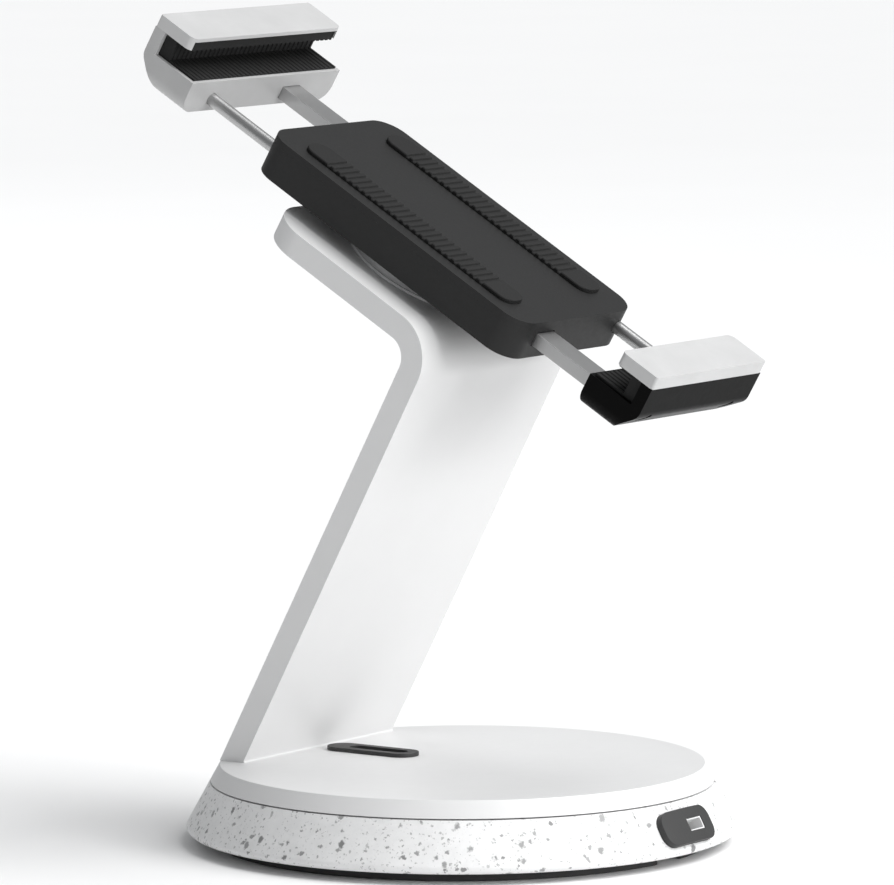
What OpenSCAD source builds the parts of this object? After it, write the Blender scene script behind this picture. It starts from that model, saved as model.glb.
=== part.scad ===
// Universal tablet stand: a weighted round base, a turntable with a leaning arm,
// and a turning clamp head whose two jaws open and close together.
// Millimetres. +Z up, the user sits at -Y, the origin is the middle of the foot's underside.

/* [Base] */
// Height of the turntable's top face above the desk
base_height = 23.1; // [19:0.1:32]
// Radius of the turntable's top face
disc_radius = 71.5; // [66:0.5:95]
// Thickness of the turntable disc
disc_thickness = 5; // [4:0.5:8]
// Growth of the radius for each millimetre down the side
side_slope = 0.55; // [0.2:0.05:0.8]
// Gap of the seam under the turntable
seam_gap = 0.4; // [0.3:0.05:0.8]
// Thickness of the rubber foot
foot_thickness = 3.1; // [2.5:0.1:5]
// How far the foot is set in from the ring's widest line
foot_inset = 9.5; // [8:0.5:12]
// Radius of the ring's lower outer edge
ring_edge_radius = 1.7; // [0.5:0.1:2.1]
// How far the bottom plate is set in from the ring's widest line
plate_inset = 7; // [6.5:0.5:8]
// Wall of the ring at its top
ring_wall = 8.5; // [7:0.5:12]
// Thickness of the bottom plate
plate_thickness = 2.6; // [2:0.1:4]
// Thickness of the ballast around its boss
ballast_thickness = 6; // [4:0.5:8]
// Direction of the foot's cable notch, in degrees from +X
notch_angle = -90; // [-100:1:-80]
// Width of the cable notch and of the cable hole
notch_width = 12; // [6:0.5:14]

/* [Turntable bearing] */
// Radius of the hollow spigot under the turntable
spigot_radius = 14; // [12:0.5:15]
// Wall of the spigot
spigot_wall = 7; // [6:0.5:8]
// Wall of the plastic bush around the spigot
bush_wall = 4; // [2.5:0.5:5]
// Running clearance of shafts in their bushes
running_gap = 0.08; // [0.05:0.01:0.1]
// Gap between faces that turn past each other
face_gap = 0.3; // [0.3:0.05:0.6]

/* [Arm] */
// Width of the arm
arm_width = 75.5; // [66:0.5:90]
// Thickness of the arm plate
arm_thickness = 7.5; // [6:0.1:10]
// Distance from the head's axis down to the corner of the arm's bend
bend_offset = 33.4; // [32:0.2:38]
// Distance from the base axis to the arm's front face at the turntable
arm_foot_y = 52.5; // [48:0.5:56]
// Outer radius of the bend under the head
bend_radius = 14; // [11:0.5:18]
// Radius of the fillet between the arm and the turntable
fillet_radius = 0.5; // [0.5:0.5:3]
// Corner radius of the head plate
head_plate_corner = 14; // [6:1:20]

/* [Cable grommet] */
// Length of the grommet's rim
grommet_length = 31.2; // [28:0.2:32]
// Width of the grommet's rim
grommet_width = 10; // [9.2:0.2:14]
// Distance from the base axis to the middle of the grommet
grommet_y = 32.4; // [31:0.2:33]
// Height of the rim above the turntable
grommet_rim = 1.2; // [0.8:0.1:2]
// Width of the cable slot
cable_slot_width = 4.6; // [4.4:0.1:5.4]
// Length of the cable slot, with the ramp at its front end
cable_slot_length = 20.2; // [18:0.2:21]
// Length of the ramp that leads the cable down
cable_ramp = 10; // [8:0.5:11]
// How far the slot sits in front of the rim's middle
cable_slot_offset = 2.2; // [1:0.1:2.6]

/* [Security slot] */
// Width of the dark surround
lock_width = 24.4; // [20:0.2:30]
// Height of the dark surround along the slope
lock_height = 10.5; // [9.6:0.1:10.8]
// How far the surround stands proud of the ring
lock_proud = 2; // [1.4:0.1:2.4]
// Corner radius of the surround
lock_corner = 4; // [2:0.1:4.8]
// Distance of the slot from the middle of the surround
lock_slot_x = 3.3; // [-5:0.1:5]
// Width of the slot
lock_slot_width = 7; // [6:0.2:8]
// Height of the slot
lock_slot_height = 3; // [2.6:0.1:3.6]

/* [Head] */
// Height of the middle of the tablet's back
cradle_z = 184; // [150:0.5:215]
// Distance from the base axis to the middle of the tablet's back
cradle_y = 2.2; // [-8:0.2:8]
// Tilt of the tablet from level
tilt = 30.3; // [25:0.1:35]
// Length of the clamp housing, from jaw to jaw
housing_length = 104; // [98:1:106]
// Width of the clamp housing
housing_width = 60; // [58:1:70]
// Depth of the room inside the housing
housing_room = 7.6; // [7:0.1:10]
// Wall of the housing
housing_wall = 2.2; // [1.8:0.1:3]
// Thickness of the housing's floor
housing_floor = 2.4; // [2:0.1:4]
// Thickness of the cradle pads
pad_thickness = 1.2; // [0.8:0.1:2]
// Radius of the hub's flange
hub_radius = 26; // [25:0.5:27]
// Thickness of the hub's flange
hub_flange = 3.6; // [3.4:0.1:5]
// Thickness of the washer that the head turns on
washer_thickness = 0.8; // [0.5:0.1:1.5]
// Radius of the hub's spigot
hub_spigot_radius = 12; // [9:0.5:12]

/* [Jaws] */
// Distance between the jaws' grips at rest
grip_opening = 179; // [170:0.5:185]
// Thickness of tablet that the jaws take
tablet_thickness = 6; // [5:0.1:9]
// How far the lips reach over the tablet
lip_reach = 5.9; // [4:0.1:8]
// Distance from the grip to the jaw's outer face
jaw_depth = 8.3; // [7.5:0.1:10]
// Width of the upper jaw
upper_jaw_width = 73.6; // [60:0.2:90]
// Width of the lower jaw
lower_jaw_width = 57; // [54:0.2:80]
// Thickness of the white caps
cap_thickness = 4; // [3:0.1:5]
// Corner radius of the caps at the lip, seen from above
cap_corner = 2.2; // [1:0.2:3.5]
// Corner radius of the caps at the outer face, seen from above
cap_outer_corner = 0.8; // [0.4:0.1:2]
// Thickness of the caps at the lip, over the liner
cap_lip = 1.2; // [0.8:0.1:2]
// Side wall of the caps beside the liner
cap_skirt = 1.3; // [1:0.1:2]
// Height of a jaw below its cap
jaw_height = 17.8; // [15:0.1:20]
// Straight part of a jaw's outer wall, before its sloping edge
jaw_straight = 9.7; // [7:0.1:11]
// Slope's size at the jaw's outer lower edge
jaw_slope = 7.6; // [5:0.1:8]
// Radius between a jaw's outer wall, slope and floor
jaw_round = 4; // [1:0.5:5]
// Radius of a jaw's lower corners, seen from the front
jaw_corner = 5; // [1:0.5:6]
// Wall of the jaw shells
shell_wall = 4; // [3:0.1:5]
// How far a jaw's floor reaches inwards from its outer face
jaw_floor = 20; // [17:0.5:21]
// Travel of each jaw outwards
travel_out = 20; // [10:1:20]
// Travel of each jaw inwards
travel_in = 24; // [10:1:24]

/* [Rack and pinion] */
// Module of the teeth
tooth_module = 1.5; // [1.2:0.1:1.6]
// Teeth on the pinion
pinion_teeth = 16; // [14:2:18]
// Thickness of the racks and the pinion
gear_thickness = 4; // [3:0.2:5]
// Width of a rack behind its teeth
rack_back = 5.6; // [4:0.2:6]
// Diameter of the guide rods
rod_diameter = 4; // [3:0.2:4]
// Distance of the guide rods from the middle
rod_x = 23.5; // [22.5:0.1:24]

/* [Hidden] */

$fn = 96;
eps = 0.01;        // overlap of a cutting shape past the face it opens
far = 400;         // larger than the whole object
seat_gap = 0.05;   // clearance of pieces that are seated in one another

// Base levels and radii
disc_bottom = base_height - disc_thickness;
ring_top = disc_bottom - seam_gap;
plate_top = foot_thickness + plate_thickness;
ballast_top = plate_top + ballast_thickness;
ring_inner = side_radius(ring_top) - ring_wall;
plate_radius = side_radius(foot_thickness) - plate_inset;
foot_radius = side_radius(foot_thickness) - foot_inset;
bush_radius = spigot_radius + bush_wall;
bush_flange = 1.5;
bush_flange_reach = 5;
boss_top = disc_bottom - face_gap - bush_flange;
retainer_top = plate_top + 3.7;
retainer_thickness = 1.5;
retainer_radius = bush_radius - 0.5;
stop_pin_radius = 2;
stop_pin_offset = bush_radius + 3.5;
counterbore_radius = stop_pin_offset + 2.5;
boss_radius = counterbore_radius + 3;
lug_half_width = 3;
glide_width = 2.4;
glide_height = 2;
glide_inset = 3.2;
base_screw_count = 6;
base_screw_circle = (ring_inner + plate_radius) / 2;
cable_hole_circle = ring_inner - 10;

// Security slot: place on the ring's side, and the way the side faces
lock_z = (ring_top + foot_thickness) / 2 + 0.4;
lock_lean = atan(side_slope);
lock_depth = 2.4;
lock_plate_thickness = 2;
lock_plate_depth = lock_depth + lock_plate_thickness;
lock_plate_height = lock_height - 2.7;
lock_collar_wall = 0.4;
lock_collar_recess = 0.6;
lock_room = 10.4;
lock_collar = [lock_slot_width + 2 * lock_collar_wall, lock_slot_height + 2 * lock_collar_wall];

// Arm: its lean from level, and the corner where its front face meets the head plate's top
head_plate_z = -(pad_thickness + housing_wall + housing_room + housing_floor + hub_flange
    + face_gap + washer_thickness);
bend_corner = side_of_head(-bend_offset, head_plate_z);
arm_angle = atan2(bend_corner.y - base_height, arm_foot_y - bend_corner.x);
bend_angle = arm_angle + tilt;
bend_sweep = 180 - bend_angle;
bend_tangent = bend_radius * tan(bend_sweep / 2);
head_plate_end = bend_offset + 3;

// Head levels, measured from the tablet's back along the head's own axis
cover_top = -pad_thickness;
cover_bottom = cover_top - housing_wall;
room_bottom = cover_bottom - housing_room;
housing_bottom = room_bottom - housing_floor;
hub_bottom = housing_bottom - hub_flange;
head_plate_bottom = head_plate_z - arm_thickness;
housing_corner = 8;
hub_bush_radius = hub_spigot_radius + 2.5;
head_stop_radius = 1.8;
head_stop_offset = hub_bush_radius + 1 + head_stop_radius;
hub_screw_circle = hub_radius - 3.4;
hub_screw_recess = 0.2;
hub_washer_radius = hub_spigot_radius + 3.4;
hub_washer_thickness = 1.5;
hub_bolt_radius = 3;
hub_bolt_bite = 9;
spring_washer_thickness = 1;
bolt_head_height = 3.6;
pivot_cap_wall = 1.4;
pivot_cap_radius = hub_washer_radius + 0.8 + pivot_cap_wall;

// Jaws
grip = grip_opening / 2;
jaw_outer = grip + jaw_depth;
lip_edge = grip - lip_reach;
liner_lip = 0.8;
cap_bottom = tablet_thickness + liner_lip;
cap_pocket = cap_thickness - cap_lip;
cap_pocket_end = grip + 2;
liner_setback = 0.7;
jaw_bottom = cap_bottom - jaw_height;
floor_pad = 0.7;
gear_mid = -7;
gear_top = gear_mid + gear_thickness / 2;
gear_bottom = gear_mid - gear_thickness / 2;
pitch_radius = tooth_module * pinion_teeth / 2;
tooth_pitch = PI * tooth_module;
pressure_angle = 20;
backlash = 0.3;
rack_tip = 0.8 * tooth_module;
rack_root = 1.2 * tooth_module;
rack_outer = pitch_radius + rack_root + rack_back;
open_mesh = 3.5 * tooth_module;  // rack left past the pinion with the jaws fully open
rack_inner_end = travel_out + open_mesh;
rack_teeth_end = travel_in + tooth_module * 5;
rack_grip = 11;
rod_inner_end = -2;
rod_boss_near = travel_out - 1;
rod_boss_length = 4;
slide_gap = 0.3;
cover_screw_x = 5.5;
cover_screw_y = housing_length / 2 - 9;
screw_radius = 1.5;
screw_head_radius = 2.7;
screw_head_height = 1.6;
lock_screw_y = 40;
pinion_pin_radius = 3;

// Radius of the tapering side at a height
function side_radius(z) = disc_radius + side_slope * (base_height - z);

// Point at an angle on a circle
function polar(r, a) = [r * cos(a), r * sin(a)];

// Place in the side view (Y, Z) of a point given along the tablet and away from it
function side_of_head(along, out) =
    [cradle_y + along * cos(tilt) - out * sin(tilt), cradle_z + along * sin(tilt) + out * cos(tilt)];

module rounded_rect(size, r) {
    square([size.x - 2 * r, size.y], center = true);
    square([size.x, size.y - 2 * r], center = true);
    for (sx = [-1, 1], sy = [-1, 1])
        translate([sx * (size.x / 2 - r), sy * (size.y / 2 - r)]) circle(r);
}

module slot_shape(length, width) {
    square([length - width, width], center = true);
    for (s = [-1, 1]) translate([s * (length - width) / 2, 0]) circle(d = width);
}

module ring(r_in, r_out, z_low, z_high) {
    translate([0, 0, z_low]) difference() {
        cylinder(r = r_out, h = z_high - z_low);
        translate([0, 0, -eps]) cylinder(r = r_in, h = z_high - z_low + 2 * eps);
    }
}

// A socket-head screw standing on its head, its shank up
module screw(shank, length, head, head_height) {
    cylinder(r = shank, h = length, $fn = 32);
    translate([0, 0, -head_height]) difference() {
        cylinder(r = head, h = head_height, $fn = 32);
        translate([0, 0, -eps]) cylinder(r = head * 0.5, h = head_height * 0.6, $fn = 6);
    }
}

module around(count, radius, start) {
    for (i = [0 : count - 1]) rotate(start + i * 360 / count) translate([radius, 0, 0]) children();
}

// Profile of a plate in the plane of the arm, drawn out to a width across X
module across(width) {
    translate([-width / 2, 0, 0]) rotate([90, 0, 90]) linear_extrude(width) children();
}

module head_frame() {
    translate([0, cradle_y, cradle_z]) rotate([tilt, 0, 0]) children();
}

module lock_frame() {
    translate([0, -side_radius(lock_z), lock_z]) rotate([90 - lock_lean, 0, 0]) children();
}

// The lower jaw's pieces are the upper jaw's, turned half round
module lower_side() {
    head_frame() rotate(180) children();
}

// Outline of the security slot's steel plate, grown by a clearance
module lock_plate_shape(grow) {
    rounded_rect([lock_width - 1 + 2 * grow, lock_plate_height + 2 * grow], lock_corner - 1);
}

// ---- Base ----

module base_screw_places() {
    around(base_screw_count, base_screw_circle, 60) children();
}

module base_ring() {
    edge_z = foot_thickness + ring_edge_radius;
    edge_x = side_radius(edge_z) - ring_edge_radius / cos(lock_lean);
    tangent_z = edge_z + ring_edge_radius * sin(lock_lean);
    color("whitesmoke") difference() {
        rotate_extrude() difference() {
            union() {
                polygon([
                    [ring_inner, foot_thickness],
                    [edge_x, foot_thickness],
                    [edge_x, edge_z],
                    [side_radius(tangent_z), tangent_z],
                    [side_radius(ring_top), ring_top],
                    [ring_inner, ring_top]]);
                translate([edge_x, edge_z]) circle(ring_edge_radius);
            }
            translate([0, foot_thickness - eps])
                square([plate_radius + seat_gap, plate_thickness + eps + seat_gap]);
            translate([ring_inner + glide_inset - seat_gap, ring_top - glide_height])
                square([glide_width + 2 * seat_gap, glide_height + eps]);
        }
        lock_frame() translate([0, 0, -lock_depth]) linear_extrude(far / 8)
            rounded_rect([lock_width + 2 * seat_gap, lock_height + 2 * seat_gap], lock_corner + seat_gap);
        lock_frame() translate([0, 0, -lock_plate_depth]) linear_extrude(lock_plate_depth)
            lock_plate_shape(seat_gap);
        translate([lock_slot_x, -side_radius(lock_z), lock_z - (lock_depth + 1) * sin(lock_lean)])
            cube([lock_slot_width + 5, 2 * lock_room, lock_slot_height + 2], center = true);
        base_screw_places() translate([0, 0, foot_thickness])
            cylinder(r = screw_radius, h = plate_thickness + 6, $fn = 32);
    }
}

module ballast() {
    color("dimgray") difference() {
        union() {
            ring(0, ring_inner - seat_gap, plate_top, ballast_top);
            ring(0, boss_radius, plate_top, boss_top);
        }
        translate([0, 0, plate_top - eps]) cylinder(r = bush_radius, h = far);
        translate([0, 0, plate_top - eps]) cylinder(r = counterbore_radius, h = retainer_top + face_gap - plate_top);
        rotate(90) translate([stop_pin_offset, 0, plate_top])
            cylinder(r = stop_pin_radius, h = retainer_top - plate_top + 4, $fn = 32);
        rotate(notch_angle) translate([cable_hole_circle, 0, plate_top - eps])
            cylinder(d = notch_width, h = far, $fn = 48);
    }
}

module bottom_plate() {
    color("silver") difference() {
        translate([0, 0, foot_thickness]) cylinder(r = plate_radius, h = plate_thickness);
        rotate(notch_angle) translate([cable_hole_circle, 0, 0])
            cylinder(d = notch_width, h = far, $fn = 48);
        base_screw_places() {
            translate([0, 0, foot_thickness - eps])
                cylinder(r = screw_head_radius + seat_gap, h = screw_head_height + seat_gap + eps, $fn = 32);
            cylinder(r = screw_radius + seat_gap, h = far / 8, $fn = 32);
        }
    }
}

module foot_pad() {
    color("dimgray") difference() {
        cylinder(r = foot_radius, h = foot_thickness);
        rotate(notch_angle) translate([cable_hole_circle, 0, -eps])
            cylinder(d = notch_width, h = far / 8, $fn = 48);
        rotate(notch_angle) translate([cable_hole_circle, -notch_width / 2, -eps])
            cube([far / 4, notch_width, far / 8]);
    }
}

module lock_surround() {
    color("dimgray") difference() {
        intersection() {
            lock_frame() translate([0, 0, -lock_depth]) linear_extrude(far / 8)
                rounded_rect([lock_width, lock_height], lock_corner);
            rotate_extrude() polygon([
                [0, 0],
                [side_radius(0) + lock_proud / cos(lock_lean), 0],
                [side_radius(base_height) + lock_proud / cos(lock_lean), base_height],
                [0, base_height]]);
        }
        lock_frame() translate([lock_slot_x, 0, -far / 8]) linear_extrude(far / 4)
            square([lock_collar.x + 2 * seat_gap, lock_collar.y + 2 * seat_gap], center = true);
    }
}

module lock_plate() {
    color("silver") lock_frame() translate([0, 0, -lock_plate_depth]) difference() {
        union() {
            linear_extrude(lock_plate_thickness) lock_plate_shape(0);
            translate([lock_slot_x, 0, 0]) linear_extrude(lock_plate_depth + lock_proud - lock_collar_recess)
                square(lock_collar, center = true);
        }
        translate([lock_slot_x, 0, -eps]) linear_extrude(far / 8)
            square([lock_slot_width, lock_slot_height], center = true);
    }
}

module base_screws() {
    color("gray") base_screw_places() translate([0, 0, foot_thickness + screw_head_height])
        screw(screw_radius, plate_thickness - screw_head_height + 5, screw_head_radius, screw_head_height);
}

module swivel_bush() {
    color("ivory") {
        ring(spigot_radius + running_gap, bush_radius, retainer_top + face_gap, boss_top);
        ring(spigot_radius + running_gap, bush_radius + bush_flange_reach, boss_top, boss_top + bush_flange);
    }
}

module glide_ring() {
    inner = ring_inner + glide_inset;
    color("ivory") ring(inner, inner + glide_width, ring_top - glide_height, disc_bottom - face_gap);
}

module swivel_stop_pin() {
    color("silver") rotate(90) translate([stop_pin_offset, 0, plate_top + 0.4])
        cylinder(r = stop_pin_radius, h = retainer_top - plate_top + 3.4, $fn = 32);
}

// ---- Turntable ----

module turntable_disc() {
    color("white") difference() {
        union() {
            rotate_extrude() polygon([
                [0, disc_bottom],
                [side_radius(disc_bottom), disc_bottom],
                [disc_radius, base_height],
                [0, base_height]]);
            translate([0, 0, retainer_top]) cylinder(r = spigot_radius, h = disc_bottom - retainer_top + eps);
        }
        translate([0, 0, retainer_top - eps])
            cylinder(r = spigot_radius - spigot_wall, h = disc_bottom - retainer_top);
        translate([0, grommet_y, 0]) rotate(90) linear_extrude(far)
            slot_shape(grommet_length - 3 + 2 * seat_gap, grommet_width - 3 + 2 * seat_gap);
        around(3, spigot_radius - spigot_wall / 2, 30) translate([0, 0, retainer_top - eps])
            cylinder(r = screw_radius, h = 6.5, $fn = 32);
    }
}

// Points of an arc about a centre, between two angles
function arc(centre, r, from, to, steps = 24) =
    [for (i = [0 : steps]) centre + polar(r, from + (to - from) * i / steps)];

// Side view of the arm: fillet, front face, bend, head plate, and back down
module arm_profile() {
    fillet_start = fillet_radius / tan(arm_angle / 2);
    fillet_centre = [arm_foot_y - fillet_start, base_height + fillet_radius];
    bend_centre = side_of_head(bend_tangent - bend_offset, head_plate_z - bend_radius);
    front_normal = 270 - arm_angle;
    top_normal = 90 + tilt;
    polygon(concat(
        arc(fillet_centre, fillet_radius, -90, 90 - arm_angle),
        arc(bend_centre, bend_radius, front_normal, top_normal),
        [side_of_head(head_plate_end, head_plate_z), side_of_head(head_plate_end, head_plate_bottom)],
        arc(bend_centre, bend_radius - arm_thickness, top_normal, front_normal),
        [[arm_foot_y + arm_thickness / sin(arm_angle), base_height], [arm_foot_y, base_height]]));
}

module arm() {
    color("white") difference() {
        across(arm_width) arm_profile();
        head_frame() translate([0, 0, head_plate_bottom - 1]) {
            cylinder(r = hub_bush_radius, h = arm_thickness + 2);
            for (s = [-1, 1]) translate([s * (arm_width / 2 - head_plate_corner),
                head_plate_end - head_plate_corner, 0]) difference() {
                    translate([(s - 1) / 2 * (head_plate_corner + 1), 0, 0])
                        cube([head_plate_corner + 1, head_plate_corner + 1, arm_thickness + 2]);
                    translate([0, 0, -1]) cylinder(r = head_plate_corner, h = arm_thickness + 4);
                }
        }
        head_frame() rotate(90) translate([head_stop_offset, 0, head_plate_bottom + 2])
            cylinder(r = head_stop_radius, h = arm_thickness, $fn = 32);
    }
}

module cable_grommet() {
    slot_front = -cable_slot_offset - cable_slot_length / 2;
    color("dimgray") translate([0, grommet_y, 0]) rotate(90) difference() {
        union() {
            translate([0, 0, base_height]) linear_extrude(grommet_rim) slot_shape(grommet_length, grommet_width);
            translate([0, 0, disc_bottom]) linear_extrude(disc_thickness + eps)
                slot_shape(grommet_length - 3, grommet_width - 3);
        }
        intersection() {
            translate([-cable_slot_offset, 0, 0]) linear_extrude(far)
                slot_shape(cable_slot_length, cable_slot_width);
            translate([0, grommet_width, 0]) rotate([90, 0, 0]) linear_extrude(2 * grommet_width)
                polygon([
                    [slot_front, base_height + grommet_rim - 0.3],
                    [slot_front + cable_ramp, disc_bottom],
                    [slot_front + cable_ramp, 0],
                    [grommet_length, 0],
                    [grommet_length, far],
                    [slot_front, far]]);
        }
    }
}

module swivel_retainer() {
    color("silver") difference() {
        translate([0, 0, retainer_top - retainer_thickness]) union() {
            cylinder(r = retainer_radius, h = retainer_thickness);
            translate([-lug_half_width, -stop_pin_offset - 1.5, 0])
                cube([2 * lug_half_width, stop_pin_offset, retainer_thickness]);
        }
        cylinder(r = spigot_radius - spigot_wall, h = far, center = true);
        around(3, spigot_radius - spigot_wall / 2, 30)
            cylinder(r = screw_radius + seat_gap, h = far, center = true, $fn = 32);
    }
}

module retainer_screws() {
    color("gray") around(3, spigot_radius - spigot_wall / 2, 30)
        translate([0, 0, retainer_top - retainer_thickness])
            screw(screw_radius, retainer_thickness + 5, screw_head_radius, screw_head_height);
}

module head_bush() {
    color("ivory") head_frame()
        ring(hub_spigot_radius + running_gap, hub_bush_radius, head_plate_bottom, head_plate_z);
}

module friction_washer() {
    inner = head_stop_offset + head_stop_radius + 0.6;
    color("ivory") head_frame() ring(inner, hub_radius - 0.5, head_plate_z, head_plate_z + washer_thickness);
}

module head_stop_pin() {
    color("silver") head_frame() rotate(90) translate([head_stop_offset, 0, head_plate_bottom + 2.5])
        cylinder(r = head_stop_radius, h = arm_thickness - 2.5 + washer_thickness + 2.2, $fn = 32);
}

module pivot_cap() {
    depth = face_gap + hub_washer_thickness + spring_washer_thickness + bolt_head_height + 0.5;
    color("dimgray") head_frame() translate([0, 0, head_plate_bottom - depth - pivot_cap_wall]) difference() {
        cylinder(r = pivot_cap_radius, h = depth + pivot_cap_wall);
        translate([0, 0, pivot_cap_wall]) cylinder(r = pivot_cap_radius - pivot_cap_wall, h = far);
    }
}

// ---- Head ----

module head_hub() {
    color("silver") head_frame() difference() {
        union() {
            ring(0, hub_radius, hub_bottom, housing_bottom);
            translate([0, 0, head_plate_bottom - face_gap])
                cylinder(r = hub_spigot_radius, h = hub_bottom - head_plate_bottom + face_gap + eps);
        }
        translate([0, 0, head_plate_bottom - face_gap - eps])
            cylinder(r = hub_bolt_radius, h = hub_bolt_bite + 0.5, $fn = 48);
        // Half-round groove for the stop pin, which lets the head turn a quarter each way
        translate([0, 0, hub_bottom - eps]) {
            rotate(-8) rotate_extrude(angle = 196)
                translate([head_stop_offset - head_stop_radius - face_gap, 0])
                    square([2 * (head_stop_radius + face_gap), 2.4]);
        }
        around(4, hub_screw_circle, 45) translate([0, 0, hub_bottom - eps]) {
            cylinder(r = screw_radius + seat_gap, h = far / 8, $fn = 32);
            cylinder(r = screw_head_radius + seat_gap, h = screw_head_height + hub_screw_recess + eps, $fn = 32);
        }
    }
}

module hub_screws() {
    color("gray") head_frame() around(4, hub_screw_circle, 45)
        translate([0, 0, hub_bottom + screw_head_height + hub_screw_recess])
            screw(screw_radius, hub_flange - screw_head_height + 1.6, screw_head_radius, screw_head_height);
}

module hub_washer() {
    top = head_plate_bottom - face_gap;
    color("silver") head_frame() ring(hub_bolt_radius + seat_gap, hub_washer_radius, top - hub_washer_thickness, top);
}

module hub_spring_washer() {
    top = head_plate_bottom - face_gap - hub_washer_thickness;
    color("gray") head_frame() ring(hub_bolt_radius + seat_gap, hub_bolt_radius * 2, top - spring_washer_thickness, top);
}

module hub_bolt() {
    head_top = head_plate_bottom - face_gap - hub_washer_thickness - spring_washer_thickness;
    color("gray") head_frame() translate([0, 0, head_top])
        screw(hub_bolt_radius, hub_washer_thickness + spring_washer_thickness + hub_bolt_bite,
            hub_bolt_radius * 1.8, bolt_head_height);
}

module cover_screw_places() {
    for (sx = [-1, 1], sy = [-1, 1]) translate([sx * cover_screw_x, sy * cover_screw_y, 0]) children();
}

// Openings for one jaw's rack and guide rod, with the housing's end wall on +Y
module jaw_passages() {
    translate([pitch_radius - rack_tip - slide_gap, 0, gear_bottom - slide_gap])
        cube([rack_outer - pitch_radius + rack_tip + 2 * slide_gap, far, gear_thickness + 2 * slide_gap]);
    translate([-rod_x, 0, gear_mid]) rotate([-90, 0, 0])
        cylinder(d = rod_diameter + 2 * running_gap, h = far, $fn = 48);
}

module clamp_housing() {
    inner = [housing_width - 2 * housing_wall, housing_length - 2 * housing_wall];
    color("dimgray") head_frame() difference() {
        union() {
            difference() {
                translate([0, 0, housing_bottom]) linear_extrude(cover_bottom - housing_bottom)
                    rounded_rect([housing_width, housing_length], housing_corner);
                translate([0, 0, room_bottom]) linear_extrude(far)
                    rounded_rect(inner, housing_corner - housing_wall);
            }
            cover_screw_places() translate([0, 0, room_bottom - eps])
                cylinder(r = 3, h = cover_bottom - room_bottom + eps, $fn = 32);
            for (s = [0, 180]) rotate(s)
                translate([-housing_width / 2 + 1, rod_boss_near, room_bottom - eps])
                    cube([housing_width / 2 - rod_x + 2.8, rod_boss_length, housing_room - 0.2]);
        }
        for (s = [0, 180]) rotate(s) jaw_passages();
        cover_screw_places() translate([0, 0, housing_bottom - eps]) {
            cylinder(r = screw_radius + seat_gap, h = far / 8, $fn = 32);
            cylinder(r = screw_head_radius + seat_gap, h = screw_head_height + eps, $fn = 32);
        }
        translate([0, 0, housing_bottom - eps]) cylinder(r = pinion_pin_radius, h = far / 8, $fn = 48);
        around(4, hub_screw_circle, 45) translate([0, 0, housing_bottom - eps])
            cylinder(r = screw_radius, h = 1.9, $fn = 32);
        translate([(pitch_radius + rack_outer) / 2, lock_screw_y, housing_bottom - eps])
            cylinder(r = 2, h = far / 8, $fn = 32);
    }
}

module clamp_cover() {
    color("dimgray") head_frame() difference() {
        translate([0, 0, cover_bottom]) linear_extrude(housing_wall)
            rounded_rect([housing_width, housing_length], housing_corner);
        cover_screw_places() translate([0, 0, cover_bottom - eps])
            cylinder(r = screw_radius, h = 1.5, $fn = 32);
    }
}

module cover_screws() {
    color("gray") head_frame() cover_screw_places() translate([0, 0, housing_bottom + screw_head_height])
        screw(screw_radius, cover_bottom - housing_bottom - screw_head_height + 1.3,
            screw_head_radius, screw_head_height);
}

module cradle_pads() {
    color("black") head_frame() for (s = [-1, 1])
        translate([s * (housing_width / 2 - 10), 0, cover_top]) linear_extrude(pad_thickness)
            rounded_rect([10, housing_length - 20], 4);
}

module pinion_pin() {
    color("silver") head_frame() translate([0, 0, housing_bottom + 0.2])
        cylinder(r = pinion_pin_radius, h = cover_bottom - housing_bottom - 0.7, $fn = 48);
}

module jaw_lock_screw() {
    height = gear_bottom - slide_gap - housing_bottom - 0.3;
    color("gray") head_frame()
        translate([(pitch_radius + rack_outer) / 2, lock_screw_y, housing_bottom + 0.2]) difference() {
            cylinder(r = 2, h = height, $fn = 32);
            translate([0, 0, -eps]) cylinder(r = 1.1, h = 2, $fn = 6);
        }
}

// ---- Rack and pinion ----

// Angle between the start of an involute and its point at a radius, in degrees
function involute(base, r) = tan(acos(base / r)) * 180 / PI - acos(base / r);

module pinion() {
    base = pitch_radius * cos(pressure_angle);
    tip = pitch_radius + tooth_module;
    root = pitch_radius - 1.25 * tooth_module;
    half = 90 / pinion_teeth - backlash / 4 / pitch_radius * 180 / PI + involute(base, pitch_radius);
    steps = 5;
    radii = [for (i = [0 : steps]) base + (tip - base) * i / steps];
    color("gold") head_frame() difference() {
        union() {
            translate([0, 0, gear_bottom]) linear_extrude(gear_thickness) {
                circle(root, $fn = 64);
                for (t = [0 : pinion_teeth - 1]) rotate(t * 360 / pinion_teeth) polygon(concat(
                    [polar(root - 0.5, -half)],
                    [for (r = radii) polar(r, involute(base, r) - half)],
                    [for (i = [steps : -1 : 0]) polar(radii[i], half - involute(base, radii[i]))],
                    [polar(root - 0.5, half)]));
            }
            ring(0, 6, room_bottom + 0.3, gear_bottom + eps);
        }
        translate([0, 0, room_bottom]) cylinder(r = pinion_pin_radius + running_gap, h = far / 8, $fn = 48);
    }
}

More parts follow.
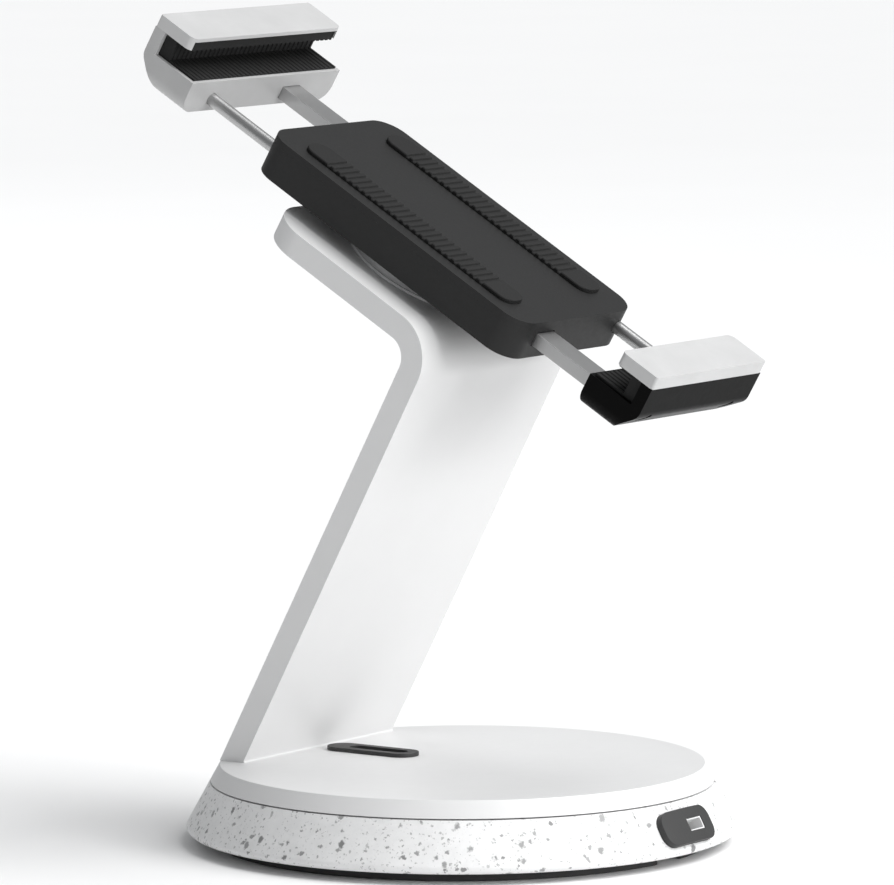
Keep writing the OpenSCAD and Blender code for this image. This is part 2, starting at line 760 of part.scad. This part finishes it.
module rack() {
    teeth_below = floor(rack_inner_end / tooth_pitch - 0.25);
    teeth_above = floor(rack_teeth_end / tooth_pitch - 0.25);
    half = tooth_pitch / 4 - backlash / 4;
    lean = tan(pressure_angle);
    rack_end = jaw_outer - jaw_floor + rack_grip;
    root_x = pitch_radius + rack_root;
    tip_x = pitch_radius - rack_tip;
    translate([0, 0, gear_bottom]) linear_extrude(gear_thickness) polygon([
        [root_x, -rack_inner_end],
        [rack_outer, -rack_inner_end],
        [rack_outer, rack_end],
        [tip_x, rack_end],
        [tip_x, rack_teeth_end],
        [root_x, rack_teeth_end],
        for (i = [teeth_above - 1 : -1 : -teeth_below], corner = [
            [root_x, half + rack_root * lean],
            [tip_x, half - rack_tip * lean],
            [tip_x, rack_tip * lean - half],
            [root_x, -half - rack_root * lean]]) [corner.x, (i + 0.5) * tooth_pitch + corner.y]]);
}

// ---- Jaws, drawn for the upper one ----

module guide_rod() {
    translate([-rod_x, rod_inner_end, gear_mid]) rotate([-90, 0, 0])
        cylinder(d = rod_diameter, h = jaw_outer - jaw_floor + rack_grip - rod_inner_end, $fn = 48);
}

module jaw_screw_places(width) {
    for (s = [-1, 1]) translate([s * (width / 2 - 7), jaw_outer - shell_wall / 2, 0]) children();
}

module rack_screw_places() {
    for (y = [3.5, 8]) translate([(pitch_radius + rack_outer) / 2, jaw_outer - jaw_floor + y, 0]) children();
}

// A jaw seen from the front, with its two lower corners rounded, standing on its lower edge
module front_outline(width) {
    translate([0, -jaw_corner - jaw_height / 2]) square([width, jaw_height], center = true);
    translate([0, -jaw_corner]) square([width - 2 * jaw_corner, 2 * jaw_corner], center = true);
    for (s = [-1, 1]) translate([s * (width / 2 - jaw_corner), -jaw_corner]) circle(jaw_corner);
}

module jaw_shell(width) {
    inner_end = jaw_outer - jaw_floor;
    floor_top = -floor_pad;
    slope_angle = atan2(jaw_height - jaw_straight, jaw_slope);
    wall_tangent = jaw_round * tan((90 - slope_angle) / 2);
    floor_tangent = jaw_round * tan(slope_angle / 2);
    difference() {
        intersection() {
            across(width) polygon(concat(
                [[inner_end, floor_top], [inner_end, jaw_bottom]],
                arc([jaw_outer - jaw_slope - floor_tangent, jaw_bottom + jaw_round],
                    jaw_round, -90, slope_angle - 90, 8),
                arc([jaw_outer - jaw_round, cap_bottom - jaw_straight + wall_tangent],
                    jaw_round, slope_angle - 90, 0, 8),
                [[jaw_outer, cap_bottom],
                [jaw_outer - shell_wall, cap_bottom],
                [jaw_outer - shell_wall, floor_top]]));
            translate([0, inner_end - 1, jaw_bottom]) rotate([-90, 0, 0]) linear_extrude(jaw_floor + 2)
                front_outline(width);
        }
        translate([pitch_radius - rack_tip - seat_gap, inner_end - eps, gear_bottom - seat_gap])
            cube([rack_outer - pitch_radius + rack_tip + 2 * seat_gap, rack_grip + seat_gap + eps,
                gear_thickness + 2 * seat_gap]);
        translate([-rod_x, inner_end - eps, gear_mid]) rotate([-90, 0, 0])
            cylinder(d = rod_diameter, h = rack_grip + seat_gap + eps, $fn = 48);
        jaw_screw_places(width) translate([0, 0, jaw_bottom]) {
            cylinder(r = 1, h = far / 8, $fn = 32);
            cylinder(r = 1.8, h = cap_bottom - jaw_straight + 2 - jaw_bottom, $fn = 32);
        }
        rack_screw_places() translate([0, 0, jaw_bottom - eps])
            cylinder(r = screw_radius, h = gear_bottom - jaw_bottom + 2 * eps, $fn = 32);
    }
}

module jaw_cap(width) {
    depth = jaw_outer - lip_edge;
    difference() {
        translate([0, lip_edge, cap_bottom]) linear_extrude(cap_thickness) {
            translate([0, depth / 2]) rounded_rect([width, depth], cap_corner);
            translate([0, depth * 0.75]) rounded_rect([width, depth / 2], cap_outer_corner);
        }
        translate([-width / 2 + cap_skirt, lip_edge - 1, cap_bottom - eps])
            cube([width - 2 * cap_skirt, cap_pocket_end - lip_edge + 1, cap_pocket + eps]);
        jaw_screw_places(width) translate([0, 0, cap_bottom - eps]) cylinder(r = 1, h = 2.6, $fn = 32);
    }
}

module jaw_liner(width) {
    wall_face = jaw_outer - shell_wall;
    pocket_top = cap_bottom + cap_pocket - seat_gap;
    across(width - 2 * (cap_skirt + seat_gap)) polygon([
        [jaw_outer - jaw_floor + 1, -floor_pad],
        [wall_face, -floor_pad],
        [wall_face, cap_bottom],
        [cap_pocket_end - seat_gap, cap_bottom],
        [cap_pocket_end - seat_gap, pocket_top],
        [lip_edge + liner_setback, pocket_top],
        [lip_edge + liner_setback, cap_bottom - liner_lip],
        [grip, cap_bottom - liner_lip],
        [grip, 0],
        [jaw_outer - jaw_floor + 1, 0]]);
}

module jaw_screws(width) {
    jaw_screw_places(width) translate([0, 0, cap_bottom - jaw_straight + 2])
        screw(1, jaw_straight - 2 + 2.4, 1.7, 1.4);
    rack_screw_places() translate([0, 0, jaw_bottom + 0.2])
        cylinder(r = screw_radius, h = gear_bottom - jaw_bottom - 0.2, $fn = 32);
}

module upper_rack() { color("silver") head_frame() rack(); }
module upper_guide_rod() { color("silver") head_frame() guide_rod(); }
module upper_shell() { color("lightgray") head_frame() jaw_shell(upper_jaw_width); }
module upper_cap() { color("white") head_frame() jaw_cap(upper_jaw_width); }
module upper_liner() { color("black") head_frame() jaw_liner(upper_jaw_width); }
module upper_screws() { color("gray") head_frame() jaw_screws(upper_jaw_width); }
module lower_rack() { color("silver") lower_side() rack(); }
module lower_guide_rod() { color("silver") lower_side() guide_rod(); }
module lower_shell() { color("black") lower_side() jaw_shell(lower_jaw_width); }
module lower_cap() { color("white") lower_side() jaw_cap(lower_jaw_width); }
module lower_liner() { color("black") lower_side() jaw_liner(lower_jaw_width); }
module lower_screws() { color("gray") lower_side() jaw_screws(lower_jaw_width); }

base_ring();
ballast();
bottom_plate();
foot_pad();
lock_surround();
lock_plate();
base_screws();
swivel_bush();
glide_ring();
swivel_stop_pin();
turntable_disc();
arm();
cable_grommet();
swivel_retainer();
retainer_screws();
head_bush();
friction_washer();
head_stop_pin();
pivot_cap();
head_hub();
hub_screws();
hub_washer();
hub_spring_washer();
hub_bolt();
clamp_housing();
clamp_cover();
cover_screws();
cradle_pads();
pinion_pin();
jaw_lock_screw();
pinion();
upper_rack();
upper_guide_rod();
upper_shell();
upper_cap();
upper_liner();
upper_screws();
lower_rack();
lower_guide_rod();
lower_shell();
lower_cap();
lower_liner();
lower_screws();
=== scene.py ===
import math

import bmesh
import bpy
from mathutils import Matrix, Vector


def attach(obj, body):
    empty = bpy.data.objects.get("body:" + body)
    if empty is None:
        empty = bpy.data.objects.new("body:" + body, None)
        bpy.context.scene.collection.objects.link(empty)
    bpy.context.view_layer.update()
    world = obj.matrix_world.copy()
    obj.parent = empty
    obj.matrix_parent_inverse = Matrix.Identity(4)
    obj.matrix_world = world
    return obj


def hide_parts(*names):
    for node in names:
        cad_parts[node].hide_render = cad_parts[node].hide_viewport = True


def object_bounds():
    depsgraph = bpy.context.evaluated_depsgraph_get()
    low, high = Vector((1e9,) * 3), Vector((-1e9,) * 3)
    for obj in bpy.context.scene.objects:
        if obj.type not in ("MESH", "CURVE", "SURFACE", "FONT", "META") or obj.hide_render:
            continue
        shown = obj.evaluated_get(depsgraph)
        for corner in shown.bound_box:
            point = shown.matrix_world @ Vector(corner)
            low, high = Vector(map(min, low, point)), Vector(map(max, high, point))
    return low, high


# Looks of a tablet stand: a round base with a flecked ring, a turntable with a leaning arm,
# and a turning clamp head. Metres, +Z up, the user sits at -Y.

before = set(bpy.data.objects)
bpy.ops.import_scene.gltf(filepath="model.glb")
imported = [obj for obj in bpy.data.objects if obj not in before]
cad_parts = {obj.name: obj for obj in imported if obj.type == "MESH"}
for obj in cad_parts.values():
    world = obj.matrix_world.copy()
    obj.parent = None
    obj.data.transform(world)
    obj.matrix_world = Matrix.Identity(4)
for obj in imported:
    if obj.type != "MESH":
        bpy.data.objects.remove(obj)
cad_low, cad_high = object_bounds()

MM = 0.001
TILT = math.radians(30.3)  # of the head, from level
HEAD = Vector((0, 2.2, 184.0)) * MM  # middle of the tablet's back


# ---- Node materials ----

class Graph:
    """Short calls for a material's node tree."""

    def __init__(self, name):
        self.material = bpy.data.materials.new(name)
        self.material.use_nodes = True
        self.tree = self.material.node_tree
        self.shader = self.tree.nodes["Principled BSDF"]

    def add(self, kind, inputs=None, **settings):
        node = self.tree.nodes.new(kind)
        for key, value in settings.items():
            setattr(node, key, value)
        for key, value in (inputs or {}).items():
            self.put(node.inputs[key], value)
        return node

    def put(self, socket, value):
        if isinstance(value, bpy.types.NodeSocket):
            self.tree.links.new(value, socket)
        else:
            socket.default_value = value

    def math(self, operation, a, b=0.0, c=0.0, clamp=False):
        return self.add("ShaderNodeMath", {0: a, 1: b, 2: c}, operation=operation,
                        use_clamp=clamp).outputs[0]

    def mix(self, factor, a, b):
        node = self.add("ShaderNodeMix", {0: factor}, data_type="RGBA")
        self.put(node.inputs[6], a)
        self.put(node.inputs[7], b)
        return node.outputs[2]

    def place(self, stretch=(1, 1, 1), turn=0.0):
        """Place in the row frame, turned about X and stretched."""
        place = self.add("ShaderNodeTexCoord").outputs["Object"]
        if turn:
            place = self.add("ShaderNodeVectorRotate", {"Vector": place, "Angle": -turn},
                             rotation_type="X_AXIS").outputs[0]
        return self.add("ShaderNodeVectorMath", {0: place, 1: stretch},
                        operation="MULTIPLY").outputs[0]

    def noise(self, size, detail=3.0, rough=0.55, place=None):
        """Noise whose lumps are about size metres across."""
        return self.add("ShaderNodeTexNoise", {
            "Vector": place or self.place(), "Scale": 1 / size, "Detail": detail,
            "Roughness": rough}).outputs["Fac"]

    def bump(self, height, depth, strength):
        return self.add("ShaderNodeBump", {
            "Height": height, "Distance": depth, "Strength": strength}).outputs[0]

    def between(self, value, low, high):
        """value from 0..1 stretched to low..high."""
        return self.math("MULTIPLY_ADD", value, high - low, low)

    def set(self, **sockets):
        names = {"colour": "Base Color", "roughness": "Roughness", "normal": "Normal",
                 "metallic": "Metallic", "specular": "Specular IOR Level"}
        for key, value in sockets.items():
            self.put(self.shader.inputs[names[key]], value)
        return self.material


def grey(level):
    return (level, level, level, 1)


def powder_coat(name, light, dark):
    """Smooth white powder coat with a very fine orange peel."""
    g = Graph(name)
    cloud = g.noise(0.03, 2)
    peel = g.noise(0.0009, 2, 0.4)
    return g.set(colour=g.mix(cloud, dark, light),
                 roughness=g.between(g.noise(0.004, 3), 0.36, 0.5),
                 normal=g.bump(peel, 0.00002, 0.35))


def flecked_plastic(name):
    """White moulded stone-look plastic, with grey flecks of several sizes."""
    g = Graph(name)
    place = g.place()
    warp_scale, warp_reach = 1300.0, 0.0016  # a fine warp makes the flecks' outlines ragged
    warp = g.add("ShaderNodeTexNoise", {"Vector": place, "Scale": warp_scale, "Detail": 3.0})
    shift = g.add("ShaderNodeVectorMath", {0: warp.outputs["Color"], 1: (0.5, 0.5, 0.5)},
                  operation="SUBTRACT").outputs[0]
    bent = g.add("ShaderNodeVectorMath", {0: shift, 1: (warp_reach,) * 3, 2: place},
                 operation="MULTIPLY_ADD").outputs[0]
    haze = g.math("MULTIPLY", g.noise(0.0022, 4, 0.6), g.noise(0.011, 2))
    colour = g.mix(haze, grey(0.86), grey(0.62))
    roughness = g.between(g.noise(0.003, 3), 0.42, 0.55)
    # cell size, stretch, smallest and largest fleck radius in cells, share, tone from and to
    layers = (
        (0.0009, (1, 0.8, 1), 0.10, 0.34, 0.80, 0.64, 0.44),
        (0.0014, (0.7, 1, 1), 0.10, 0.36, 0.90, 0.52, 0.32),
        (0.0023, (1, 0.65, 0.85), 0.08, 0.38, 0.95, 0.40, 0.23),
        (0.0036, (0.75, 1, 0.7), 0.10, 0.34, 0.85, 0.36, 0.21))
    edge_sharpness = 9.0
    for cell, stretch, smallest, largest, share, pale, dark in layers:
        spot = g.add("ShaderNodeVectorMath", {0: bent, 1: stretch}, operation="MULTIPLY")
        cells = g.add("ShaderNodeTexVoronoi", {"Vector": spot.outputs[0], "Scale": 1 / cell})
        pick = g.add("ShaderNodeSeparateColor", {0: cells.outputs["Color"]})
        size = g.between(g.math("POWER", pick.outputs[0], 1.5), smallest, largest)
        inside = g.math("SUBTRACT", size, cells.outputs["Distance"])
        edge = g.math("MULTIPLY", inside, edge_sharpness, clamp=True)
        fleck = g.math("MULTIPLY", edge, g.math("LESS_THAN", pick.outputs[1], share))
        colour = g.mix(fleck, colour, g.mix(pick.outputs[2], grey(pale), grey(dark)))
    return g.set(colour=colour, roughness=roughness,
                 normal=g.bump(g.noise(0.0012, 2), 0.00002, 0.3))


def moulded_plastic(name, level, roughness, grain=0.0006, depth=0.00004, specular=0.5):
    """Moulded plastic with a spark-eroded grain."""
    g = Graph(name)
    cloud = g.noise(0.012, 3)
    pits = g.add("ShaderNodeTexVoronoi", {"Vector": g.place(), "Scale": 1 / grain},
                 feature="SMOOTH_F1").outputs["Distance"]
    height = g.math("ADD", pits, g.noise(grain * 0.7, 3))
    return g.set(colour=g.mix(cloud, grey(level * 0.9), grey(level * 1.1)),
                 roughness=g.between(g.noise(0.002, 3), roughness - 0.06, roughness + 0.08),
                 normal=g.bump(height, depth, 0.5), specular=specular)


def rubber(name, level):
    """Matt rubber with a dusty bloom and fine pores."""
    g = Graph(name)
    bloom = g.noise(0.008, 5, 0.65)
    return g.set(colour=g.mix(bloom, grey(level * 0.75), grey(level * 1.3)),
                 roughness=g.between(bloom, 0.72, 0.9), specular=0.3,
                 normal=g.bump(g.noise(0.0005, 4, 0.7), 0.00006, 0.6))


def brushed_metal(name, colour, roughness, along=(1, 1, 1), turn=0.0, metal=1.0):
    """Metal with fine lines. They run the way in which along is small."""
    g = Graph(name)
    line_width = 0.0002
    grain = g.noise(line_width, 4, 0.7, g.place(along, turn))
    cloud = g.noise(0.01, 3)
    dark = tuple(c * 0.82 for c in colour[:3]) + (1,)
    tone = g.math("MULTIPLY_ADD", grain, 0.6, g.math("MULTIPLY", cloud, 0.4))
    return g.set(colour=g.mix(tone, dark, colour), metallic=metal,
                 roughness=g.between(grain, roughness - 0.08, roughness + 0.1),
                 normal=g.bump(grain, 0.00001, 0.5))


def cast_metal(name, level):
    """Rough sand-cast metal."""
    g = Graph(name)
    lumps = g.noise(0.0016, 5, 0.7)
    return g.set(colour=g.mix(lumps, grey(level * 0.7), grey(level * 1.25)), metallic=0.6,
                 roughness=g.between(lumps, 0.5, 0.75), normal=g.bump(lumps, 0.0002, 0.7))


white_coat = powder_coat("white_coat", grey(0.75), grey(0.71))
flecked = flecked_plastic("speckled_plastic")
cap_white = moulded_plastic("cap_white", 0.54, 0.4, grain=0.0005, depth=0.00002)
shell_grey = moulded_plastic("shell_grey", 0.46, 0.38, grain=0.0005, depth=0.00002)
shell_black = moulded_plastic("shell_black", 0.002, 0.35, grain=0.0012, depth=0.00001,
                              specular=0.05)
dark_plastic = moulded_plastic("dark_plastic", 0.04, 0.5, specular=0.3)
housing_black = moulded_plastic("housing_plastic", 0.01, 0.5, specular=0.35)
bearing_plastic = moulded_plastic("bearing_plastic", 0.62, 0.45)
foot_rubber = rubber("foot_rubber", 0.045)
grip_rubber = rubber("grip_rubber", 0.014)
ballast_iron = cast_metal("cast_ballast", 0.16)
hub_metal = cast_metal("cast_hub", 0.42)
steel_long = brushed_metal("steel_along_head", grey(0.5), 0.38, (1, 0.02, 1), TILT)
steel_flat = brushed_metal("plated_steel", grey(0.66), 0.32, (0.03, 1, 1))
slot_zinc = brushed_metal("slot_zinc", grey(0.9), 0.5, metal=0.25)
steel_turned = brushed_metal("turned_steel", grey(0.6), 0.28, (1, 1, 0.05))
brass = brushed_metal("brass_gear", (0.72, 0.5, 0.2, 1), 0.3)
screw_steel = brushed_metal("fasteners", grey(0.2), 0.35)


# ---- CAD nodes: finish and softened edges ----

def round_edges(obj, width, segments, angle):
    """Bevels the edges sharper than angle, with shading that keeps flat faces flat."""
    bevel = obj.modifiers.new("bevel", "BEVEL")
    bevel.width = width
    bevel.segments = segments
    bevel.limit_method = "ANGLE"
    bevel.angle_limit = math.radians(angle)
    bevel.miter_outer = "MITER_ARC"
    normals = obj.modifiers.new("normals", "WEIGHTED_NORMAL")
    normals.keep_sharp = False


def soften(node, width):
    """Rounds the sharp edges of a CAD node with modifiers. Its own mesh stays."""
    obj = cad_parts[node]
    weld = obj.modifiers.new("weld", "WELD")
    weld.merge_threshold = 2e-6
    flat = obj.modifiers.new("flat", "DECIMATE")
    flat.decimate_type = "DISSOLVE"
    flat.angle_limit = math.radians(0.4)
    round_edges(obj, width, segments=3, angle=32)


# node: (material, size of its softened edge in mm, or 0 for none)
FINISH = {
    "base_ring": (flecked, 0.25), "ballast": (ballast_iron, 0), "bottom_plate": (steel_flat, 0.3),
    "foot_pad": (foot_rubber, 0.4), "lock_surround": (dark_plastic, 1.2),
    "lock_plate": (slot_zinc, 0.1), "base_screws": (screw_steel, 0.12),
    "swivel_bush": (bearing_plastic, 0.2), "glide_ring": (bearing_plastic, 0.2),
    "swivel_stop_pin": (steel_turned, 0.2), "turntable_disc": (white_coat, 0.35),
    "arm": (white_coat, 0.3), "cable_grommet": (dark_plastic, 0.9),
    "swivel_retainer": (steel_flat, 0.15), "retainer_screws": (screw_steel, 0.12),
    "head_bush": (bearing_plastic, 0), "friction_washer": (bearing_plastic, 0.1),
    "head_stop_pin": (steel_turned, 0.2), "pivot_cap": (dark_plastic, 0.8),
    "head_hub": (hub_metal, 0.3), "hub_screws": (screw_steel, 0.12),
    "hub_washer": (steel_flat, 0.15), "hub_spring_washer": (screw_steel, 0.1),
    "hub_bolt": (screw_steel, 0.2), "clamp_housing": (housing_black, 0.6),
    "clamp_cover": (housing_black, 0.6), "cover_screws": (screw_steel, 0.12),
    "cradle_pads": (grip_rubber, 0.4), "pinion_pin": (steel_turned, 0.2),
    "jaw_lock_screw": (screw_steel, 0.1), "pinion": (brass, 0),
    "upper_rack": (steel_long, 0.15), "lower_rack": (steel_long, 0.15),
    "upper_guide_rod": (steel_long, 0.3), "lower_guide_rod": (steel_long, 0.3),
    "upper_shell": (shell_grey, 0.5), "lower_shell": (shell_black, 0.5),
    "upper_cap": (cap_white, 0.4), "lower_cap": (cap_white, 0.4),
    "upper_liner": (grip_rubber, 0.3), "lower_liner": (grip_rubber, 0.3),
    "upper_screws": (screw_steel, 0.1), "lower_screws": (screw_steel, 0.1)}

for node, (finish, edge) in FINISH.items():
    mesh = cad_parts[node].data
    mesh.materials.clear()
    mesh.materials.append(finish)
    if edge:
        soften(node, edge * MM)


# ---- Rubber pieces with ribs ----

ALONG = Vector((0, math.cos(TILT), math.sin(TILT)))  # up the tablet's face
OUT = Vector((0, -math.sin(TILT), math.cos(TILT)))  # square to the tablet's face

# Measured along the tablet's face from its middle
TABLET_EDGE = 89.5 * MM
CAP_POCKET_END = 91.45 * MM
LINER_LIP = 84.3 * MM
# Measured out from the tablet's back
TABLET_THICKNESS = 6 * MM
CAP_BOTTOM = 6.8 * MM

LINER_GROOVE = 0.35 * MM  # depth of the grooves between a liner's ribs
PAD_GROOVE = 0.55 * MM  # and of those between a cradle pad's ribs
RUBBER_EDGE = 0.12 * MM  # softened edge of the ribbed pieces


def from_head(across, along, out, turn):
    """A place in the row frame. turn is -1 for the lower jaw: the upper one, turned round."""
    return HEAD + Vector((across * turn, 0, 0)) + ALONG * along * turn + OUT * out


def head_span(node, turn):
    """Lowest and highest across, along and out of a CAD node, in the head's own frame."""
    places = []
    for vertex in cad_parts[node].data.vertices:
        way = vertex.co - HEAD
        places.append((way.x * turn, way.dot(ALONG) * turn, way.dot(OUT)))
    return [(min(values), max(values)) for values in zip(*places)]


def add_loft(shape, rings):
    """A closed skin over rings of points, with a flat face on both ends."""
    rows = [[shape.verts.new(point) for point in ring] for ring in rings]
    for low, high in zip(rows, rows[1:]):
        for i, vertex in enumerate(low):
            shape.faces.new((low[i - 1], vertex, high[i], high[i - 1]))
    shape.faces.new(rows[0])
    shape.faces.new(rows[-1])


def rubber_piece(name, node, body, lofts):
    """A ribbed piece in the place of a plain CAD one."""
    shape = bmesh.new()
    for rings in lofts:
        add_loft(shape, rings)
    bmesh.ops.recalc_face_normals(shape, faces=shape.faces)
    mesh = bpy.data.meshes.new(name)
    shape.to_mesh(mesh)
    shape.free()
    mesh.materials.append(grip_rubber)
    piece = bpy.data.objects.new(name, mesh)
    bpy.context.scene.collection.objects.link(piece)
    round_edges(piece, RUBBER_EDGE, segments=2, angle=40)
    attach(piece, body)
    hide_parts(node)


def rib_steps(low, high, pitch, groove, slope):
    """Places from low to high with the depth share there: 0 on a rib, 1 in a groove."""
    count = int((high - low - 2 * slope) / pitch)
    edge = (high - low - count * pitch) / 2
    steps = [(low, 0)]
    for i in range(count):
        middle = low + edge + (i + 0.5) * pitch
        steps += [(middle - groove / 2 - slope, 0), (middle - groove / 2, 1),
                  (middle + groove / 2, 1), (middle + groove / 2 + slope, 0)]
    return steps + [(high, 0)]


def cradle_strip(side):
    """A long pad with rounded ends and cross ribs, on one side of the clamp housing."""
    (_, far_side), (low, high), (bottom, top) = head_span("cradle_pads", 1)
    width, corner, lip = 10 * MM, 4 * MM, 0.3 * MM
    middle = side * (far_side - width / 2)
    ribs = rib_steps(low + 2 * corner, high - 2 * corner,
                     pitch=2.6 * MM, groove=0.9 * MM, slope=0.25 * MM)
    corner_steps = 8
    turns = [math.radians(90 * i / corner_steps) for i in range(corner_steps + 1)]
    ends = [(corner * (1 - math.cos(a)), corner * (1 - math.sin(a))) for a in turns]
    steps = [(low + way, 0, inset) for way, inset in ends]
    steps += [(place, share, 0) for place, share in ribs]
    steps += [(high - way, 0, inset) for way, inset in reversed(ends)]
    rings = []
    for place, share, inset in steps:
        half, face = width / 2 - inset, top - share * PAD_GROOVE
        outline = ((-half, bottom), (-half, face - lip), (lip - half, face),
                   (half - lip, face), (half, face - lip), (half, bottom))
        rings.append([from_head(middle + x, place, out, 1) for x, out in outline])
    return rings


def jaw_liner(node, turn):
    """The rubber lining of a jaw, with ribs on the faces that hold the tablet's edge."""
    (left, right), (inner, wall), (bottom, top) = head_span(node, turn)
    rings = []
    ribs = rib_steps(left, right, pitch=2.2 * MM, groove=0.7 * MM, slope=0.15 * MM)
    for across, share in ribs:
        cut = share * LINER_GROOVE
        face, ceiling = TABLET_EDGE + cut, TABLET_THICKNESS + cut
        outline = ((inner, bottom), (wall, bottom), (wall, CAP_BOTTOM),
                   (CAP_POCKET_END, CAP_BOTTOM), (CAP_POCKET_END, top), (LINER_LIP, top),
                   (LINER_LIP, ceiling), (face, ceiling), (face, -cut), (inner, -cut))
        rings.append([from_head(across, along, out, turn) for along, out in outline])
    return rings


rubber_piece("ribbed_cradle_pads", "cradle_pads", "head", [cradle_strip(-1), cradle_strip(1)])
rubber_piece("ribbed_upper_liner", "upper_liner", "upper_jaw", [jaw_liner("upper_liner", 1)])
rubber_piece("ribbed_lower_liner", "lower_liner", "lower_jaw", [jaw_liner("lower_liner", -1)])


# ---- Stage, light and camera ----

def way_to(azimuth, elevation):
    """Unit vector from the object to a viewer. Azimuth 0 stands at -Y, and 90 at +X."""
    a, e = math.radians(azimuth), math.radians(elevation)
    return Vector((math.sin(a) * math.cos(e), -math.cos(a) * math.cos(e), math.sin(e)))


def add_lamp(data, power, back, location):
    """Puts a light in the scene, looking against back."""
    data.energy = power
    lamp = bpy.data.objects.new(data.name, data)
    lamp.location = location
    lamp.rotation_euler = back.to_track_quat("Z", "Y").to_euler()
    bpy.context.scene.collection.objects.link(lamp)


def area_light(name, aim, azimuth, elevation, distance, size, power):
    """A softbox that looks at aim."""
    data = bpy.data.lights.new(name, "AREA")
    data.shape = "RECTANGLE"
    data.size, data.size_y = size
    back = way_to(azimuth, elevation)
    add_lamp(data, power, back, aim + back * distance)


def soft_sun(name, azimuth, elevation, spread, strength):
    """A distant, wide light, so that the floor is lit evenly to its far end."""
    data = bpy.data.lights.new(name, "SUN")
    data.angle = math.radians(spread)
    add_lamp(data, strength, way_to(azimuth, elevation), Vector((0, 0, 0)))


def spot_light(name, aim, azimuth, elevation, distance, cone, power):
    """A soft-edged spot on one place."""
    data = bpy.data.lights.new(name, "SPOT")
    data.spot_size = math.radians(cone)
    data.spot_blend = 1.0
    data.shadow_soft_size = 0.12
    back = way_to(azimuth, elevation)
    add_lamp(data, power, back, aim + back * distance)


def pale_floor():
    """A large pale floor, a hair under the foot."""
    radius, gap = 40, 0.0001
    mesh = bpy.data.meshes.new("floor")
    shape = bmesh.new()
    bmesh.ops.create_circle(shape, cap_ends=True, radius=radius, segments=64)
    shape.to_mesh(mesh)
    shape.free()
    floor = bpy.data.objects.new("floor", mesh)
    floor.location.z = cad_low.z - gap
    bpy.context.scene.collection.objects.link(floor)
    g = Graph("floor")
    mesh.materials.append(g.set(colour=g.mix(g.noise(0.2, 2), grey(0.89), grey(0.91)),
                                roughness=0.7, specular=0.2))


def build_world(level):
    """An even, slightly cool sky."""
    world = bpy.data.worlds.new("studio")
    world.use_nodes = True
    background = world.node_tree.nodes["Background"]
    background.inputs["Color"].default_value = (0.96, 0.98, 1, 1)
    background.inputs["Strength"].default_value = level
    bpy.context.scene.world = world


def photo_camera(azimuth, elevation, roll, distance, target, lens):
    """The camera that was solved from the photograph."""
    a, r = math.radians(azimuth), math.radians(roll)
    back = way_to(azimuth, elevation)
    right = Vector((math.cos(a), math.sin(a), 0))
    up = back.cross(right)
    rolled_right = right * math.cos(r) + up * math.sin(r)
    rolled_up = up * math.cos(r) - right * math.sin(r)
    data = bpy.data.cameras.new("camera")
    data.lens = lens
    data.sensor_width = 36
    data.clip_end = 100
    camera = bpy.data.objects.new("camera", data)
    turn = Matrix((rolled_right, rolled_up, back)).transposed().to_4x4()
    camera.matrix_world = Matrix.Translation(target + back * distance) @ turn
    bpy.context.scene.collection.objects.link(camera)
    bpy.context.scene.camera = camera


pale_floor()
build_world(0.3)
middle = (cad_low + cad_high) / 2
soft_sun("key", azimuth=25, elevation=55, spread=50, strength=3.1)
area_light("front", middle, azimuth=-5, elevation=5, distance=1.5, size=(1.2, 0.5), power=6)
arm_foot = Vector((0, 45, 30)) * MM
spot_light("foot", arm_foot, azimuth=-8, elevation=16, distance=0.9, cone=20, power=8)
area_light("rim", middle, azimuth=150, elevation=30, distance=2.2, size=(1.0, 1.4), power=4)
photo_camera(azimuth=-55.023, elevation=6.437, roll=-0.21, distance=2.18727,
             target=Vector((6.212, 9.5, 116.491)) * MM, lens=299.05)
bpy.context.scene.view_settings.view_transform = "Standard"
